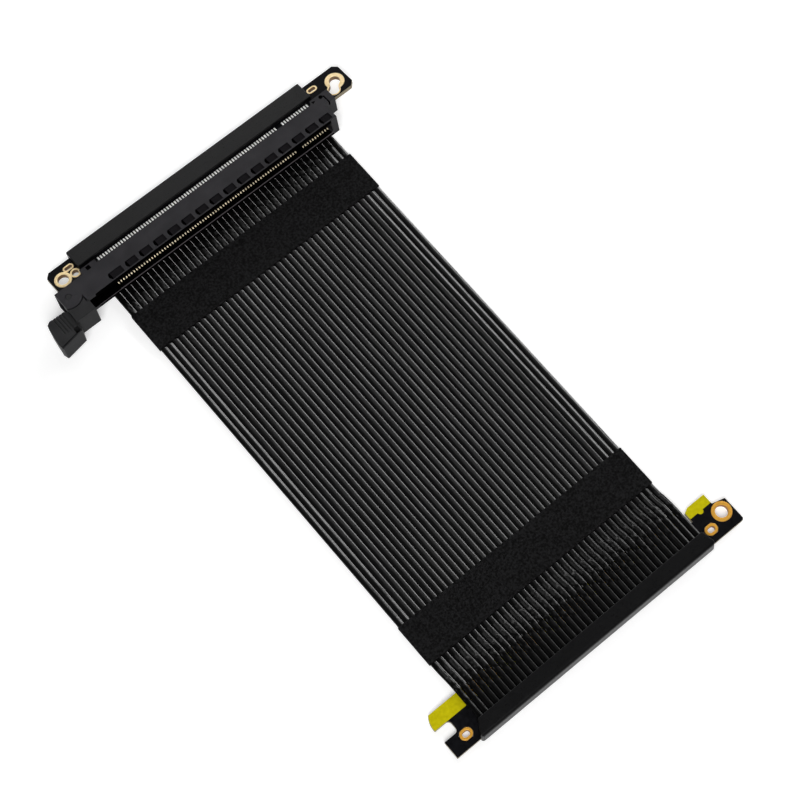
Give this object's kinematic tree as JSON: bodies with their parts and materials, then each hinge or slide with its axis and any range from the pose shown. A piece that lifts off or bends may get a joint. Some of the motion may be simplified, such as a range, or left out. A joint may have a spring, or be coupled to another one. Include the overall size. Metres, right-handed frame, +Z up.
{
  "type": "riser cable",
  "caption": "Riser cable for expansion cards: a flat ribbon of black wires between a plug board with edge fingers and a slot with a card latch, bound by cloth tape bands.",
  "frame": {"origin": "middle of the floor rectangle that the cable covers, at the height it lies on", "axes": "+X along the slot towards its key, +Y from the plug to the slot, +Z up"},
  "size_m": [0.1272, 0.1986, 0.0116],
  "materials": {
    "housing_plastic": "moulded, fine matt",
    "latch_plastic": "moulded, fine matt",
    "overmould_plastic": "cast, satin",
    "wire_jacket": "glossy insulation",
    "cloth_tape": "matt woven tape",
    "board_mask": "satin solder mask on laminate",
    "hole_gold": "gold plated copper",
    "contact_gold": "gold plated spring metal"
  },
  "bodies": {
    "cable": {"socket_housing": "housing_plastic", "socket_upper_contacts": "contact_gold", "socket_lower_contacts": "contact_gold", "socket_board": "board_mask", "socket_board_plating": "hole_gold", "socket_overmould": "overmould_plastic", "socket_tape": "cloth_tape", "plug_board": "board_mask", "plug_board_plating": "hole_gold", "plug_upper_fingers": "contact_gold", "plug_lower_fingers": "contact_gold", "plug_overmould": "overmould_plastic", "plug_tape": "cloth_tape", "wire_01": "wire_jacket", "wire_02": "wire_jacket", "wire_03": "wire_jacket", "wire_04": "wire_jacket", "wire_05": "wire_jacket", "wire_06": "wire_jacket", "wire_07": "wire_jacket", "wire_08": "wire_jacket", "wire_09": "wire_jacket", "wire_10": "wire_jacket", "wire_11": "wire_jacket", "wire_12": "wire_jacket", "wire_13": "wire_jacket", "wire_14": "wire_jacket", "wire_15": "wire_jacket", "wire_16": "wire_jacket", "wire_17": "wire_jacket", "wire_18": "wire_jacket", "wire_19": "wire_jacket", "wire_20": "wire_jacket", "wire_21": "wire_jacket", "wire_22": "wire_jacket", "wire_23": "wire_jacket", "wire_24": "wire_jacket", "wire_25": "wire_jacket", "wire_26": "wire_jacket", "wire_27": "wire_jacket", "wire_28": "wire_jacket", "wire_29": "wire_jacket", "wire_30": "wire_jacket", "wire_31": "wire_jacket", "wire_32": "wire_jacket", "wire_33": "wire_jacket", "wire_34": "wire_jacket", "wire_35": "wire_jacket", "wire_36": "wire_jacket", "wire_37": "wire_jacket", "wire_38": "wire_jacket", "wire_39": "wire_jacket", "wire_40": "wire_jacket", "wire_41": "wire_jacket"},
    "latch": {"socket_latch": "latch_plastic"}
  },
  "joints": [
    {"name": "latch_swing", "type": "hinge", "parent": "cable", "child": "latch", "pos_m": [-0.05178, 0.08431, 0.00631], "axis": [0, 0.1736, 0.9848], "range_deg": [-25, 0]}
  ]
}
